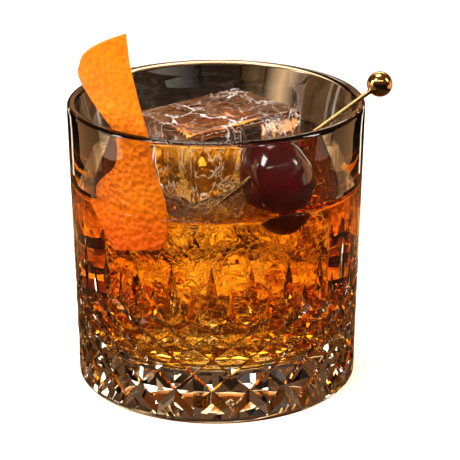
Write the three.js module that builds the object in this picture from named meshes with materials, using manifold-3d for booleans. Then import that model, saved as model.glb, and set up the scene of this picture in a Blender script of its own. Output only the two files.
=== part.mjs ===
import * as THREE from 'three';
import { mergeVertices } from 'three/addons/utils/BufferGeometryUtils.js';
import { RoundedBoxGeometry } from 'three/addons/geometries/RoundedBoxGeometry.js';
import Module from 'manifold-3d';

const wasm = await Module();
wasm.setup();

// An old fashioned cocktail in a cut rocks glass. Millimetres, +Z up, the glass stands on z = 0.
// Angles are in degrees from the front of the glass (-Y), growing towards +X.

// Clearance kept between neighbouring pieces.
const GAP = 0.3;

// Glass: overall sizes.
const GLASS_HEIGHT = 84.2;
const RIM_RADIUS = 43;
const BASE_RADIUS = 41.5;
const LIP_THICKNESS = 3.1;
const INNER_RADIUS = 36.5;
const FLARE_START = 48;
const FLOOR_HEIGHT = 14.4;
const FLOOR_CORNER = 6;
const FLOOR_CORNER_STEPS = 4;
const FLOOR_MIDDLE_RADIUS = 16;
const LIP_STEPS = 6;
const HEEL_SIZE = 1.2;
const HEEL_STEPS = 2;

// Glass: the cut diamonds, the flutes above them and the spikes between the flutes.
const COLUMNS = 24;
const SIDES = 2 * COLUMNS;
const PATTERN_TURN = 5.6;
const CROSSING_ROWS = 7;
const FIRST_ROW = 4.9;
const FIRST_ROW_STEP = 5.55;
const ROW_SHRINK = 0.907;
const GROOVE_DEPTH = 1.6;
const WINDOW_SHARE = 0.54;
const RUN_OUT_LOW = 1.9;
const RUN_OUT_HIGH = 1.8;
const FLUTE = { middle: 39.5, up: 9.5, down: 6.2, halfWidth: 1.8, depth: 1.3 };
const SPIKE = { middle: 34.2, up: 8, down: 3.6, halfWidth: 1.4, depth: 1.5 };
const WALL_RINGS = [44, 52, 62, 72];
const INNER_RINGS = [78, 72, 66, 60, 54, FLARE_START, 36];

// Drink.
const DRINK_LEVEL = 60.6;

// Ice block.
const ICE_LENGTH = 41.5;
const ICE_WIDTH = 31;
const ICE_TOP = 80.6;
const ICE_TURN = 39.5;
const ICE_ROUNDING = 2.2;
const ICE_ROUND_STEPS = 2;
const ICE_FOOT_SHARE = 0.95;
const ICE_CENTRE_Y = 0.5;

// Cherry.
const CHERRY_RADIUS = 10.2;
const CHERRY_CENTRE = new THREE.Vector3(16.5, -19.9, 66.6);
const CHERRY_SIDES = 26;
const CHERRY_RINGS = 16;
const CHERRY_LOWER_STRETCH = 0.45;
const DIMPLE_DEPTH = 1.5;
const DIMPLE_WIDTH = 3.4;

// Pick.
const PICK_TIP = new THREE.Vector3(-0.4, -30.2, 62.4);
const PICK_ON_LIP = new THREE.Vector3(39.3, -7.6, 84.9);
const PICK_ROD_RADIUS = 0.68;
const PICK_POINT_LENGTH = 5;
const PICK_POINT_RADIUS = 0.25;
const PICK_PAST_LIP = 9.6;
const PICK_BALL_RADIUS = 3.7;
const PICK_SIDES = 16;
const PICK_BALL_STEPS = 10;

// Orange peel: angle and height along each edge, from its top end to its bottom end.
const PEEL_THICKNESS = 1.8;
const PEEL_LEFT = [
  [-54.5, 102.8], [-59, 96.5], [-54, 89.5], [-47, 83.5], [-43, 78.5], [-46, 72.5],
  [-57, 66.5], [-65, 61.5], [-57.5, 55], [-48, 47.6],
];
const PEEL_RIGHT = [
  [-43, 110], [-39.5, 102], [-34.5, 93.5], [-29.5, 84], [-28.5, 79], [-26.5, 73],
  [-23.5, 67], [-21.8, 61.5], [-21, 55.5], [-24, 51],
];
const PEEL_WALL_SPACE = 1.5;
const PEEL_LEAN_OUT = 0.36;
const PEEL_LEAN_IN = -0.1;
const PEEL_CURL = 2.6;
const PEEL_TOP_ROUND = 0.8;
const PEEL_TOP_SHARE = 0.15;
const PEEL_ALONG = 30;
const PEEL_ACROSS = 7;
const PEEL_EDGE_SHARE = 0.55;

const radians = THREE.MathUtils.degToRad;

function outerRadius(z) {
  return BASE_RADIUS + (RIM_RADIUS - BASE_RADIUS) * z / GLASS_HEIGHT;
}

function innerRadius(z) {
  const flare = RIM_RADIUS - LIP_THICKNESS - INNER_RADIUS;
  const share = Math.max(0, (z - FLARE_START) / (GLASS_HEIGHT - FLARE_START));
  return INNER_RADIUS + flare * share * share;
}

function polar(angle, radius, z) {
  const turn = radians(angle);
  return new THREE.Vector3(radius * Math.sin(turn), -radius * Math.cos(turn), z);
}

function toSolid(geometry) {
  const bare = geometry.clone();
  bare.deleteAttribute('normal');
  bare.deleteAttribute('uv');
  const merged = mergeVertices(bare, 1e-4);
  const vertProperties = new Float32Array(merged.attributes.position.array);
  const triVerts = new Uint32Array(merged.index.array);
  return new wasm.Manifold(new wasm.Mesh({ numProp: 3, vertProperties, triVerts }));
}

function toGeometry(solid) {
  const mesh = solid.getMesh();
  const geometry = new THREE.BufferGeometry();
  geometry.setAttribute('position', new THREE.BufferAttribute(new Float32Array(mesh.vertProperties), 3));
  geometry.setIndex(new THREE.BufferAttribute(new Uint32Array(mesh.triVerts), 1));
  return geometry;
}

function moveVertices(geometry, move) {
  const position = geometry.attributes.position;
  const point = new THREE.Vector3();
  for (let i = 0; i < position.count; i += 1) {
    point.fromBufferAttribute(position, i);
    move(point);
    position.setXYZ(i, point.x, point.y, point.z);
  }
  return geometry;
}

// Points and facets of a closed surface, put together ring by ring.
class Surface {
  constructor() {
    this.points = [];
    this.facets = [];
  }

  add(point) {
    this.points.push(point.x, point.y, point.z);
    return this.points.length / 3 - 1;
  }

  triangle(a, b, c) {
    this.facets.push(a, b, c);
  }

  quad(a, b, c, d) {
    this.triangle(a, b, c);
    this.triangle(a, c, d);
  }

  ring(radius, z) {
    const ring = [];
    for (let side = 0; side < SIDES; side += 1) {
      ring.push(this.add(polar(sideAngle(side), radius, z)));
    }
    return ring;
  }

  strip(lower, upper) {
    for (let side = 0; side < SIDES; side += 1) {
      const next = (side + 1) % SIDES;
      this.quad(lower[side], lower[next], upper[next], upper[side]);
    }
  }

  geometry() {
    const geometry = new THREE.BufferGeometry();
    geometry.setAttribute('position', new THREE.Float32BufferAttribute(this.points, 3));
    geometry.setIndex(this.facets);
    return geometry;
  }
}

function sideAngle(side) {
  return PATTERN_TURN + side * 360 / SIDES;
}

function crossingHeights() {
  const heights = [FIRST_ROW];
  let step = FIRST_ROW_STEP;
  for (let row = 1; row < CROSSING_ROWS; row += 1) {
    heights.push(heights[row - 1] + step);
    step *= ROW_SHRINK;
  }
  return heights;
}

// Diamonds between a smooth ring below and a smooth ring above: the grooves cross at full depth,
// each diamond ends in a flat window at the outer radius.
function cutDiamonds(surface, below, above, heights) {
  const crossing = heights.map((z, row) => {
    const points = new Map();
    for (let side = row % 2; side < SIDES; side += 2) {
      points.set(side, surface.add(polar(sideAngle(side), outerRadius(z) - GROOVE_DEPTH, z)));
    }
    return points;
  });
  const halfStep = 360 / SIDES * WINDOW_SHARE;
  const last = heights.length - 1;
  for (let row = 0; row <= last; row += 1) {
    for (let side = (row + 1) % 2; side < SIDES; side += 2) {
      const before = (side + SIDES - 1) % SIDES;
      const after = (side + 1) % SIDES;
      const z = heights[row];
      const angle = sideAngle(side);
      const west = crossing[row].get(before);
      const east = crossing[row].get(after);
      const windowWest = surface.add(polar(angle - halfStep, outerRadius(z), z));
      const windowEast = surface.add(polar(angle + halfStep, outerRadius(z), z));
      let windowSouth = below[side];
      let windowNorth = above[side];
      if (row > 0) {
        const south = crossing[row - 1].get(side);
        const zSouth = z + (heights[row - 1] - z) * WINDOW_SHARE;
        windowSouth = surface.add(polar(angle, outerRadius(zSouth), zSouth));
        surface.quad(west, south, windowSouth, windowWest);
        surface.quad(south, east, windowEast, windowSouth);
      } else {
        surface.triangle(west, below[before], windowWest);
        surface.triangle(below[before], below[side], windowWest);
        surface.triangle(east, windowEast, below[after]);
        surface.triangle(below[after], windowEast, below[side]);
      }
      if (row < last) {
        const north = crossing[row + 1].get(side);
        const zNorth = z + (heights[row + 1] - z) * WINDOW_SHARE;
        windowNorth = surface.add(polar(angle, outerRadius(zNorth), zNorth));
        surface.quad(west, windowWest, windowNorth, north);
        surface.quad(east, north, windowNorth, windowEast);
      } else {
        surface.triangle(west, windowWest, above[before]);
        surface.triangle(windowWest, above[side], above[before]);
        surface.triangle(east, above[after], windowEast);
        surface.triangle(windowEast, above[after], above[side]);
      }
      surface.quad(windowWest, windowSouth, windowEast, windowNorth);
    }
  }
}

function glassBlank() {
  const surface = new Surface();
  const heights = crossingHeights();
  const rings = [];
  for (let step = 0; step <= HEEL_STEPS; step += 1) {
    const turn = Math.PI / 2 * step / HEEL_STEPS;
    const radius = outerRadius(HEEL_SIZE) - HEEL_SIZE * (1 - Math.sin(turn));
    rings.push(surface.ring(radius, HEEL_SIZE * (1 - Math.cos(turn))));
  }
  const below = surface.ring(outerRadius(RUN_OUT_LOW), RUN_OUT_LOW);
  rings.push(below);
  const top = heights[heights.length - 1] + RUN_OUT_HIGH;
  const above = surface.ring(outerRadius(top), top);
  cutDiamonds(surface, below, above, heights);
  const upper = [above];
  for (const z of WALL_RINGS) {
    upper.push(surface.ring(outerRadius(z), z));
  }
  const lipRadius = LIP_THICKNESS / 2;
  for (let step = 0; step <= LIP_STEPS; step += 1) {
    const turn = Math.PI * step / LIP_STEPS;
    const middle = RIM_RADIUS - lipRadius;
    const z = GLASS_HEIGHT - lipRadius + lipRadius * Math.sin(turn);
    upper.push(surface.ring(middle + lipRadius * Math.cos(turn), z));
  }
  for (const z of INNER_RINGS) {
    upper.push(surface.ring(innerRadius(z), z));
  }
  for (let step = 0; step <= FLOOR_CORNER_STEPS; step += 1) {
    const turn = Math.PI / 2 * step / FLOOR_CORNER_STEPS;
    const radius = INNER_RADIUS - FLOOR_CORNER * (1 - Math.cos(turn));
    upper.push(surface.ring(radius, FLOOR_HEIGHT + FLOOR_CORNER * (1 - Math.sin(turn))));
  }
  upper.push(surface.ring(FLOOR_MIDDLE_RADIUS, FLOOR_HEIGHT));
  for (const path of [rings, upper]) {
    for (let i = 1; i < path.length; i += 1) {
      surface.strip(path[i - 1], path[i]);
    }
  }
  const under = surface.add(new THREE.Vector3(0, 0, 0));
  const floor = surface.add(new THREE.Vector3(0, 0, FLOOR_HEIGHT));
  const inner = upper[upper.length - 1];
  for (let side = 0; side < SIDES; side += 1) {
    const next = (side + 1) % SIDES;
    surface.triangle(under, rings[0][next], rings[0][side]);
    surface.triangle(inner[side], inner[next], floor);
  }
  return surface.geometry();
}

// A pointed lens cut across the wall, longer upwards than downwards.
function lensCutter(lens, angle) {
  const cutter = new THREE.OctahedronGeometry(1, 0);
  moveVertices(cutter, (point) => {
    point.x *= lens.halfWidth;
    point.y *= lens.depth;
    point.z *= point.z > 0 ? lens.up : lens.down;
    const radius = outerRadius(lens.middle + point.z) - point.y;
    const place = polar(angle, radius, lens.middle + point.z);
    const turn = radians(angle);
    point.set(place.x + point.x * Math.cos(turn), place.y + point.x * Math.sin(turn), place.z);
  });
  return toSolid(cutter);
}

function glassGeometry() {
  let solid = toSolid(glassBlank());
  for (let side = 0; side < SIDES; side += 1) {
    const lens = side % 2 === 0 ? SPIKE : FLUTE;
    solid = solid.subtract(lensCutter(lens, sideAngle(side)));
  }
  return toGeometry(solid);
}

// The block of ice, grown by a margin on every side when it is cut out of the drink.
function iceGeometry(margin) {
  const foot = FLOOR_HEIGHT + GAP;
  const height = ICE_TOP - foot;
  const block = new RoundedBoxGeometry(
    ICE_LENGTH + 2 * margin,
    ICE_WIDTH + 2 * margin,
    height + 2 * margin,
    ICE_ROUND_STEPS,
    ICE_ROUNDING,
  );
  moveVertices(block, (point) => {
    const share = THREE.MathUtils.lerp(ICE_FOOT_SHARE, 1, point.z / height + 0.5);
    point.x *= share;
    point.y *= share;
  });
  block.rotateZ(radians(ICE_TURN));
  block.translate(0, ICE_CENTRE_Y, foot + height / 2);
  return block;
}

function pickAxis() {
  return PICK_ON_LIP.clone().sub(PICK_TIP).normalize();
}

function placeOnPick(geometry) {
  const up = new THREE.Vector3(0, 0, 1);
  geometry.applyQuaternion(new THREE.Quaternion().setFromUnitVectors(up, pickAxis()));
  geometry.translate(PICK_TIP.x, PICK_TIP.y, PICK_TIP.z);
  return geometry;
}

// The pick: a pointed rod with a ball at its far end, turned about its own axis.
function pickGeometry() {
  const ballCentre = PICK_ON_LIP.distanceTo(PICK_TIP) + PICK_PAST_LIP;
  const start = Math.asin(PICK_ROD_RADIUS / PICK_BALL_RADIUS);
  const profile = [
    new THREE.Vector2(0, 0),
    new THREE.Vector2(PICK_POINT_RADIUS, PICK_POINT_RADIUS),
    new THREE.Vector2(PICK_ROD_RADIUS, PICK_POINT_LENGTH),
  ];
  for (let step = 0; step < PICK_BALL_STEPS; step += 1) {
    const turn = start + (Math.PI - start) * step / PICK_BALL_STEPS;
    profile.push(new THREE.Vector2(
      PICK_BALL_RADIUS * Math.sin(turn),
      ballCentre - PICK_BALL_RADIUS * Math.cos(turn),
    ));
  }
  profile.push(new THREE.Vector2(0, ballCentre + PICK_BALL_RADIUS));
  const pick = new THREE.LatheGeometry(profile, PICK_SIDES);
  pick.rotateX(Math.PI / 2);
  return placeOnPick(pick);
}

// The cherry: a round fruit, longer below, dimpled where the pick goes in and comes out.
function cherryBody(margin) {
  const radius = CHERRY_RADIUS + margin;
  const cherry = new THREE.SphereGeometry(radius, CHERRY_SIDES, CHERRY_RINGS);
  const axis = pickAxis();
  const reach = CHERRY_CENTRE.clone().sub(PICK_TIP);
  const nearest = axis.clone().multiplyScalar(reach.dot(axis)).sub(reach);
  const halfChord = Math.sqrt(CHERRY_RADIUS ** 2 - nearest.lengthSq());
  const dimples = [halfChord, -halfChord].map((along) => nearest.clone().addScaledVector(axis, along));
  moveVertices(cherry, (point) => {
    point.z -= CHERRY_LOWER_STRETCH * Math.min(0, point.z) ** 2 / CHERRY_RADIUS;
    for (const dimple of dimples) {
      const away = point.distanceTo(dimple) / DIMPLE_WIDTH;
      point.multiplyScalar(1 - DIMPLE_DEPTH / radius * Math.exp(-away * away));
    }
  });
  cherry.translate(CHERRY_CENTRE.x, CHERRY_CENTRE.y, CHERRY_CENTRE.z);
  return cherry;
}

function cherryGeometry() {
  const length = PICK_ON_LIP.distanceTo(PICK_TIP);
  const radius = PICK_ROD_RADIUS + GAP;
  const hole = new THREE.CylinderGeometry(radius, radius, length, PICK_SIDES);
  hole.rotateX(Math.PI / 2);
  hole.translate(0, 0, length / 2);
  return toGeometry(toSolid(cherryBody(0)).subtract(toSolid(placeOnPick(hole))));
}

// One edge of the peel: along the inner wall below the rim, leaning out of the glass above it.
function peelEdge(stations, lean) {
  const points = stations.map(([angle, z]) => {
    const wall = innerRadius(Math.min(z, GLASS_HEIGHT)) - PEEL_WALL_SPACE;
    return new THREE.Vector3(angle, wall + lean * Math.max(0, z - GLASS_HEIGHT), z);
  });
  return new THREE.CatmullRomCurve3(points);
}

function peelGeometry(inside, outside, margin) {
  const left = peelEdge(PEEL_LEFT, PEEL_LEAN_OUT);
  const right = peelEdge(PEEL_RIGHT, PEEL_LEAN_IN);
  const place = (t, v) => {
    const a = left.getPoint(t);
    const b = right.getPoint(t);
    const flat = a.lerp(b, v);
    const above = THREE.MathUtils.smoothstep(flat.z, GLASS_HEIGHT - 2, GLASS_HEIGHT + 12);
    const top = 1 - THREE.MathUtils.smoothstep(t, 0, PEEL_TOP_SHARE);
    flat.y += PEEL_CURL * above * 4 * v * (1 - v);
    flat.z += PEEL_TOP_ROUND * top * 4 * v * (1 - v);
    return polar(flat.x, flat.y, flat.z);
  };
  const small = 1e-3;
  const surface = new Surface();
  const sheets = [[], []];
  for (let i = 0; i <= PEEL_ALONG; i += 1) {
    for (let j = 0; j <= PEEL_ACROSS; j += 1) {
      const t = i / PEEL_ALONG;
      const v = j / PEEL_ACROSS;
      const here = place(t, v);
      const along = place(Math.min(t + small, 1), v).sub(place(Math.max(t - small, 0), v)).normalize();
      const across = place(t, v + small).sub(place(t, v - small)).normalize();
      const normal = across.clone().cross(along).negate().normalize();
      const onSide = j === 0 || j === PEEL_ACROSS;
      const onEnd = i === 0 || i === PEEL_ALONG;
      const share = onSide || onEnd ? PEEL_EDGE_SHARE : 1;
      here.addScaledVector(across, onSide ? Math.sign(v - 0.5) * margin : 0);
      here.addScaledVector(along, onEnd ? Math.sign(t - 0.5) * margin : 0);
      sheets[0].push(surface.add(here.clone().addScaledVector(normal, outside * share)));
      sheets[1].push(surface.add(here.clone().addScaledVector(normal, -inside * share)));
    }
  }
  const row = PEEL_ACROSS + 1;
  const edge = [];
  for (let j = 0; j < PEEL_ACROSS; j += 1) {
    edge.push(j);
  }
  for (let i = 0; i < PEEL_ALONG; i += 1) {
    edge.push(i * row + PEEL_ACROSS);
  }
  for (let j = PEEL_ACROSS; j > 0; j -= 1) {
    edge.push(PEEL_ALONG * row + j);
  }
  for (let i = PEEL_ALONG; i > 0; i -= 1) {
    edge.push(i * row);
  }
  for (let i = 0; i < PEEL_ALONG; i += 1) {
    for (let j = 0; j < PEEL_ACROSS; j += 1) {
      const a = i * row + j;
      const b = a + row;
      surface.quad(sheets[0][a], sheets[0][b], sheets[0][b + 1], sheets[0][a + 1]);
      surface.quad(sheets[1][a], sheets[1][a + 1], sheets[1][b + 1], sheets[1][b]);
    }
  }
  for (let i = 0; i < edge.length; i += 1) {
    const a = edge[i];
    const b = edge[(i + 1) % edge.length];
    surface.quad(sheets[0][a], sheets[0][b], sheets[1][b], sheets[1][a]);
  }
  return surface.geometry();
}

// The drink fills the glass to its level and leaves room for the ice, the cherry and the peel.
function drinkGeometry() {
  const foot = FLOOR_HEIGHT + GAP;
  const profile = [new THREE.Vector2(0, foot)];
  const corner = FLOOR_CORNER - GAP;
  for (let step = FLOOR_CORNER_STEPS; step >= 0; step -= 1) {
    const turn = Math.PI / 2 * step / FLOOR_CORNER_STEPS;
    const radius = INNER_RADIUS - GAP - corner * (1 - Math.cos(turn));
    profile.push(new THREE.Vector2(radius, foot + corner * (1 - Math.sin(turn))));
  }
  for (const z of [FLARE_START, DRINK_LEVEL]) {
    profile.push(new THREE.Vector2(innerRadius(z) - GAP, z));
  }
  profile.push(new THREE.Vector2(0, DRINK_LEVEL));
  const fill = new THREE.LatheGeometry(profile, SIDES);
  fill.rotateX(Math.PI / 2);
  const peelRoom = peelGeometry(PEEL_THICKNESS / 2 + GAP, PEEL_THICKNESS / 2 + PEEL_WALL_SPACE, GAP);
  const solid = toSolid(fill)
    .subtract(toSolid(iceGeometry(GAP)))
    .subtract(toSolid(cherryBody(GAP)))
    .subtract(toSolid(peelRoom));
  return toGeometry(solid);
}

function piece(name, geometry, finish) {
  const mesh = new THREE.Mesh(geometry, new THREE.MeshStandardMaterial(finish));
  mesh.name = name;
  return mesh;
}

const group = new THREE.Group();
group.name = 'old_fashioned';
group.add(piece('tumbler', glassGeometry(), { color: 0xdfe6e4, roughness: 0.05, metalness: 0 }));
group.add(piece('drink', drinkGeometry(), { color: 0xb5651d, roughness: 0.1, metalness: 0 }));
group.add(piece('ice_block', iceGeometry(0), { color: 0xe8eef0, roughness: 0.1, metalness: 0 }));
group.add(piece('cherry', cherryGeometry(), { color: 0x4a0d14, roughness: 0.15, metalness: 0 }));
group.add(piece('cocktail_pick', pickGeometry(), { color: 0xc9a24b, roughness: 0.2, metalness: 1 }));
group.add(piece('orange_peel', peelGeometry(PEEL_THICKNESS / 2, PEEL_THICKNESS / 2, 0), {
  color: 0xf08a12,
  roughness: 0.5,
  metalness: 0,
}));

export default group;
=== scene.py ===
"""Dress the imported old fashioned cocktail: cut glass, amber drink, ice, peel, cherry and pick."""

from __future__ import annotations

import logging
import math
from dataclasses import dataclass, field
from enum import Enum
from typing import Callable, Sequence

import bmesh
import bpy
from mathutils import Matrix, Quaternion, Vector, noise


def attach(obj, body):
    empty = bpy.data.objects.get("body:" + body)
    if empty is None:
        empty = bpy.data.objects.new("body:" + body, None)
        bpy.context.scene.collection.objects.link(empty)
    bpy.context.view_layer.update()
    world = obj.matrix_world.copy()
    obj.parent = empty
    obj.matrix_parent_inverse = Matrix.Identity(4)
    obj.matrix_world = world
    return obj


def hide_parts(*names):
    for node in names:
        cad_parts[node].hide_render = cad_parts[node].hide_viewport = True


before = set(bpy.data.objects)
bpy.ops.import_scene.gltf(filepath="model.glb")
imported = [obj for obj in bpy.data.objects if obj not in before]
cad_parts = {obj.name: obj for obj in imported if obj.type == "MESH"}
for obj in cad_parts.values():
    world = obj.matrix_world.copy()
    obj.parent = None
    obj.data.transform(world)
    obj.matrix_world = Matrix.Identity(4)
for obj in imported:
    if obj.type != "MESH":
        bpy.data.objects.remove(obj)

LOG = logging.getLogger("cocktail")
MM = 0.001
FULL_TURN = 2.0 * math.pi
BODY = "root"

Colour = tuple[float, float, float]
WHITE: Colour = (1.0, 1.0, 1.0)
BLACK: Colour = (0.0, 0.0, 0.0)


class Slot(Enum):
    """The finishes named in the part's record."""

    GLASS = "cut_glass"
    DRINK = "amber_drink"
    ICE = "clear_ice"
    CHERRY = "cherry_skin"
    BRASS = "polished_brass"
    ZEST = "orange_zest"


class Shows(Enum):
    """Where a studio light is seen, beside the light that it gives."""

    NOWHERE = "nowhere"
    IN_GLOSS = "in gloss"
    IN_GLOSS_AND_GLASS = "in gloss and through glass"


def polar(angle: float, radius: float, height: float) -> Vector:
    """Place a point round the glass.

    Args:
        angle: degrees from the front of the glass, growing to the right.
        radius: millimetres from the axis.
        height: millimetres above the table.

    Returns:
        The point in metres.
    """
    turn = math.radians(angle)
    return Vector((radius * math.sin(turn), -radius * math.cos(turn), height)) * MM


def smooth_step(value: float, low: float, high: float) -> float:
    """Ease from 0 at low to 1 at high."""
    share = min(1.0, max(0.0, (value - low) / (high - low)))
    return share * share * (3.0 - 2.0 * share)


def turn_profile(
    bm: bmesh.types.BMesh, profile: Sequence[tuple[float, float]], steps: int, start: float = 0.0
) -> None:
    """Spin a profile about the upright axis and mark the new faces smooth.

    Args:
        bm: the mesh that gets the faces.
        profile: radius and height pairs in millimetres.
        steps: faces round the axis.
        start: angle of the first seam in degrees.
    """
    made = len(bm.faces)
    verts = [bm.verts.new(polar(start, radius, height)) for radius, height in profile]
    edges = [bm.edges.new(pair) for pair in zip(verts, verts[1:])]
    bmesh.ops.spin(
        bm,
        geom=verts + edges,
        cent=(0.0, 0.0, 0.0),
        axis=(0.0, 0.0, 1.0),
        dvec=(0.0, 0.0, 0.0),
        angle=FULL_TURN,
        steps=steps,
        use_merge=True,
    )
    bm.faces.ensure_lookup_table()
    for face in bm.faces[made:]:
        face.smooth = True


def close_up(bm: bmesh.types.BMesh) -> None:
    """Merge coincident points and turn every face outwards."""
    bmesh.ops.remove_doubles(bm, verts=bm.verts[:], dist=2e-6)
    bmesh.ops.recalc_face_normals(bm, faces=bm.faces[:])


def smooth_faces(bm: bmesh.types.BMesh) -> None:
    """Shade every face of a mesh smooth."""
    for face in bm.faces:
        face.smooth = True


def bare_object(name: str, bm: bmesh.types.BMesh, finishes: Sequence[bpy.types.Material]) -> bpy.types.Object:
    """Turn a bmesh into an object in the scene.

    Args:
        name: the object's name.
        bm: its mesh, which is freed.
        finishes: its materials in slot order.

    Returns:
        The new object, at the origin.
    """
    mesh = bpy.data.meshes.new(name)
    bm.to_mesh(mesh)
    bm.free()
    for finish in finishes:
        mesh.materials.append(finish)
    made = bpy.data.objects.new(name, mesh)
    bpy.context.scene.collection.objects.link(made)
    return made


def settle(piece: bpy.types.Object, slot: Slot, node: str | None = None) -> bpy.types.Object:
    """Hand a finished piece to the frame.

    Args:
        piece: the finished object.
        slot: the record's finish that it wears.
        node: the solid that it replaces, if any.

    Returns:
        The same object.
    """
    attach(piece, BODY)
    if node is not None:
        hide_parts(node)
    LOG.info("%s: %d faces, finish %s", piece.name, len(piece.data.polygons), slot.value)
    return piece


class Graph:
    """A new material and its node tree."""

    def __init__(self, name: str) -> None:
        """Start an empty node tree with its output.

        Args:
            name: the material's name.
        """
        self.material = bpy.data.materials.new(name)
        self.material.use_nodes = True
        self.tree = self.material.node_tree
        self.tree.nodes.clear()
        self.output = self.node("ShaderNodeOutputMaterial")

    def node(self, kind: str, **values: object) -> bpy.types.Node:
        """Add a node.

        Args:
            kind: the node's class name.
            values: attributes, or input values with spaces written as underscores.

        Returns:
            The new node.
        """
        made = self.tree.nodes.new(kind)
        for key, value in values.items():
            socket = made.inputs.get(key.replace("_", " "))
            if socket is not None:
                socket.default_value = value
            else:
                setattr(made, key, value)
        return made

    def link(self, source: bpy.types.NodeSocket, target: bpy.types.NodeSocket) -> None:
        """Join two sockets."""
        self.tree.links.new(source, target)

    def place(self) -> bpy.types.NodeSocket:
        """Give the piece's own coordinates in metres."""
        return self.node("ShaderNodeTexCoord").outputs["Object"]

    def grain(
        self, scale: float, detail: float = 3.0, roughness: float = 0.5, distortion: float = 0.0
    ) -> bpy.types.NodeSocket:
        """Add a noise pattern in the piece's own coordinates.

        Args:
            scale: features per metre.
            detail: octaves.
            roughness: weight of the fine octaves.
            distortion: how far the pattern is stirred.

        Returns:
            The noise value.
        """
        made = self.node(
            "ShaderNodeTexNoise", Scale=scale, Detail=detail, Roughness=roughness, Distortion=distortion
        )
        self.link(self.place(), made.inputs["Vector"])
        return made.outputs["Fac"]

    def cells(self, scale: float, smooth: float = 0.4) -> bpy.types.NodeSocket:
        """Add a pattern of soft round cells in the piece's own coordinates.

        Args:
            scale: cells per metre.
            smooth: how far neighbouring cells blend.

        Returns:
            The distance from the nearest cell's middle.
        """
        made = self.node("ShaderNodeTexVoronoi", feature="SMOOTH_F1", Scale=scale, Smoothness=smooth)
        self.link(self.place(), made.inputs["Vector"])
        return made.outputs["Distance"]

    def ramp(
        self, source: bpy.types.NodeSocket, stops: Sequence[tuple[float, Colour]]
    ) -> bpy.types.NodeSocket:
        """Map a value to colours.

        Args:
            source: the value.
            stops: position and colour pairs, in order.

        Returns:
            The colour.
        """
        made = self.node("ShaderNodeValToRGB")
        band = made.color_ramp
        while len(band.elements) < len(stops):
            band.elements.new(0.5)
        for element, (position, colour) in zip(band.elements, stops):
            element.position = position
            element.color = (*colour, 1.0)
        self.link(source, made.inputs["Fac"])
        return made.outputs["Color"]

    def spread(
        self, source: bpy.types.NodeSocket, low: float, high: float, start: float = 0.0, end: float = 1.0
    ) -> bpy.types.NodeSocket:
        """Stretch a value.

        Args:
            source: the value.
            low: result at start.
            high: result at end.
            start: value that gives low.
            end: value that gives high.

        Returns:
            The stretched value.
        """
        made = self.node("ShaderNodeMapRange")
        for name, value in (("From Min", start), ("From Max", end), ("To Min", low), ("To Max", high)):
            made.inputs[name].default_value = value
        self.link(source, made.inputs["Value"])
        return made.outputs["Result"]

    def bump(
        self,
        height: bpy.types.NodeSocket,
        distance: float,
        strength: float = 1.0,
        under: bpy.types.NodeSocket | None = None,
    ) -> bpy.types.NodeSocket:
        """Turn a height into a normal.

        Args:
            height: the height value.
            distance: metres from value 0 to value 1.
            strength: how much of it shows.
            under: a normal that it lies on.

        Returns:
            The normal.
        """
        made = self.node("ShaderNodeBump", Strength=strength, Distance=distance)
        self.link(height, made.inputs["Height"])
        if under is not None:
            self.link(under, made.inputs["Normal"])
        return made.outputs["Normal"]

    def times(self, first: bpy.types.NodeSocket, second: bpy.types.NodeSocket) -> bpy.types.NodeSocket:
        """Multiply two colours.

        Args:
            first: one colour.
            second: the other colour.

        Returns:
            Their product.
        """
        made = self.node("ShaderNodeVectorMath", operation="MULTIPLY")
        self.link(first, made.inputs[0])
        self.link(second, made.inputs[1])
        return made.outputs["Vector"]

    def length(self, vector: bpy.types.NodeSocket) -> bpy.types.NodeSocket:
        """Measure a vector.

        Args:
            vector: the vector.

        Returns:
            Its length.
        """
        made = self.node("ShaderNodeVectorMath", operation="LENGTH")
        self.link(vector, made.inputs[0])
        return made.outputs["Value"]

    def mix(
        self, share: bpy.types.NodeSocket, first: bpy.types.NodeSocket, second: bpy.types.NodeSocket
    ) -> bpy.types.NodeSocket:
        """Mix two shaders.

        Args:
            share: the second shader's share.
            first: the shader at share 0.
            second: the shader at share 1.

        Returns:
            The mixed shader.
        """
        made = self.node("ShaderNodeMixShader")
        self.link(share, made.inputs["Fac"])
        self.link(first, made.inputs[1])
        self.link(second, made.inputs[2])
        return made.outputs["Shader"]

    def principled(self, colour: Colour, **values: object) -> bpy.types.Node:
        """Add the main shader.

        Args:
            colour: its base colour.
            values: its other inputs, with spaces written as underscores.

        Returns:
            The shader node.
        """
        return self.node("ShaderNodeBsdfPrincipled", Base_Color=(*colour, 1.0), **values)

    def lets_lamps_through(self, shader: bpy.types.NodeSocket, tint: Colour) -> bpy.types.NodeSocket:
        """Let lamps shine through a clear shader.

        Args:
            shader: the clear shader.
            tint: the share of light that each surface passes.

        Returns:
            The mixed shader.
        """
        path = self.node("ShaderNodeLightPath")
        clear = self.node("ShaderNodeBsdfTransparent", Color=(*tint, 1.0))
        return self.mix(path.outputs["Is Shadow Ray"], shader, clear.outputs["BSDF"])

    def finish(
        self, surface: bpy.types.NodeSocket, volume: bpy.types.NodeSocket | None = None
    ) -> bpy.types.Material:
        """Close the tree.

        Args:
            surface: the surface shader.
            volume: the volume shader, if any.

        Returns:
            The material.
        """
        self.link(surface, self.output.inputs["Surface"])
        if volume is not None:
            self.link(volume, self.output.inputs["Volume"])
        return self.material


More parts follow.
